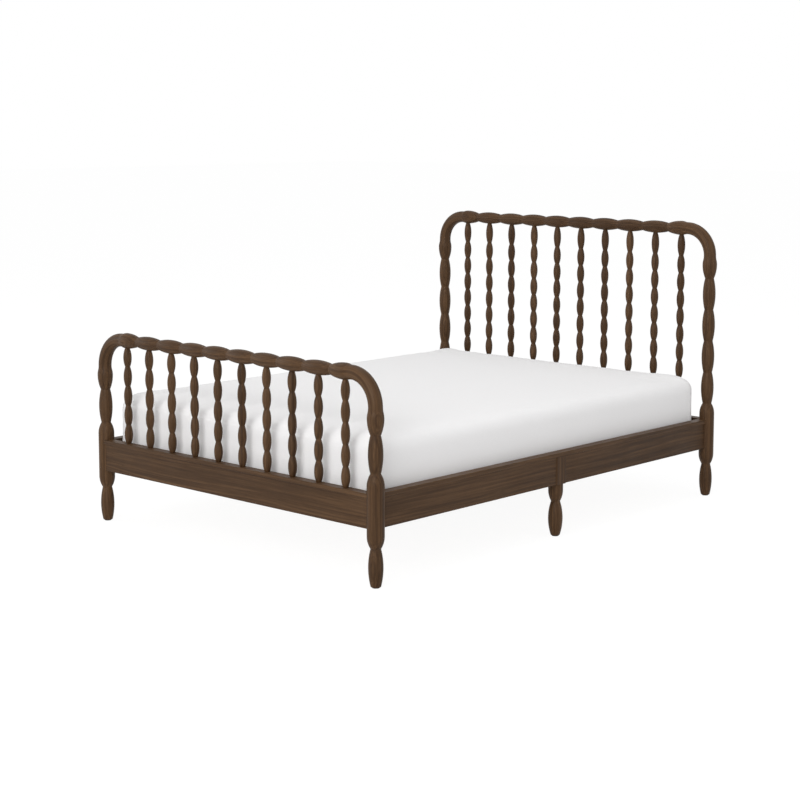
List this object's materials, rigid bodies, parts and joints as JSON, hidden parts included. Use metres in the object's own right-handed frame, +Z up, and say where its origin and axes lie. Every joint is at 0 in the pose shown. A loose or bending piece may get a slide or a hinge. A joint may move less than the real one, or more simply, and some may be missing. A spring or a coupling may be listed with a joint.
{
  "type": "spindle bed",
  "caption": "Full-size spindle bed with beaded turned posts, arched beaded head and foot rails, plain side rails and a plain pale mattress.",
  "frame": {"origin": "on the floor under the middle of the bed", "axes": "+X to the right seen from the foot of the bed, +Y from the foot to the head, +Z up"},
  "size_m": [1.517, 2.0448, 1.1395],
  "materials": {
    "dark_walnut": "satin",
    "bare_pine": "matte",
    "beech_dowel": "matte",
    "zinc_steel": "satin",
    "glide_plastic": "matte",
    "mattress_cover": "matte"
  },
  "bodies": {
    "bed_frame": {"centre_leg_foot": "dark_walnut", "centre_leg_head": "dark_walnut", "centre_rail": "bare_pine", "cleat_screws": "zinc_steel", "corner_dowels": "beech_dowel", "foot_corner_left": "dark_walnut", "foot_corner_right": "dark_walnut", "foot_end_cleat": "bare_pine", "foot_glides": "glide_plastic", "foot_post_left": "dark_walnut", "foot_post_right": "dark_walnut", "foot_rail_cap": "dark_walnut", "foot_rail_panel": "dark_walnut", "foot_spindle_01": "dark_walnut", "foot_spindle_02": "dark_walnut", "foot_spindle_03": "dark_walnut", "foot_spindle_04": "dark_walnut", "foot_spindle_05": "dark_walnut", "foot_spindle_06": "dark_walnut", "foot_spindle_07": "dark_walnut", "foot_spindle_08": "dark_walnut", "foot_spindle_09": "dark_walnut", "foot_spindle_10": "dark_walnut", "foot_top_rail": "dark_walnut", "hanger_bolts": "zinc_steel", "head_corner_left": "dark_walnut", "head_corner_right": "dark_walnut", "head_end_cleat": "bare_pine", "head_post_left": "dark_walnut", "head_post_right": "dark_walnut", "head_rail_cap": "dark_walnut", "head_rail_panel": "dark_walnut", "head_spindle_01": "dark_walnut", "head_spindle_02": "dark_walnut", "head_spindle_03": "dark_walnut", "head_spindle_04": "dark_walnut", "head_spindle_05": "dark_walnut", "head_spindle_06": "dark_walnut", "head_spindle_07": "dark_walnut", "head_spindle_08": "dark_walnut", "head_spindle_09": "dark_walnut", "head_spindle_10": "dark_walnut", "head_top_rail": "dark_walnut", "mid_leg_bolts": "zinc_steel", "mid_leg_left": "dark_walnut", "mid_leg_right": "dark_walnut", "plate_screws": "zinc_steel", "post_slot_plates": "zinc_steel", "rail_hook_plates": "zinc_steel", "side_rail_cap_left": "dark_walnut", "side_rail_cap_right": "dark_walnut", "side_rail_panel_left": "dark_walnut", "side_rail_panel_right": "dark_walnut", "slat_cleat_left": "bare_pine", "slat_cleat_right": "bare_pine", "slat_screws": "zinc_steel", "slats": "bare_pine"},
    "mattress_body": {"mattress": "mattress_cover"}
  },
  "joints": [
    {"name": "mattress_lift", "type": "slide", "parent": "bed_frame", "child": "mattress_body", "axis": [0, 0, 1], "range_m": [0, 0.95]}
  ]
}
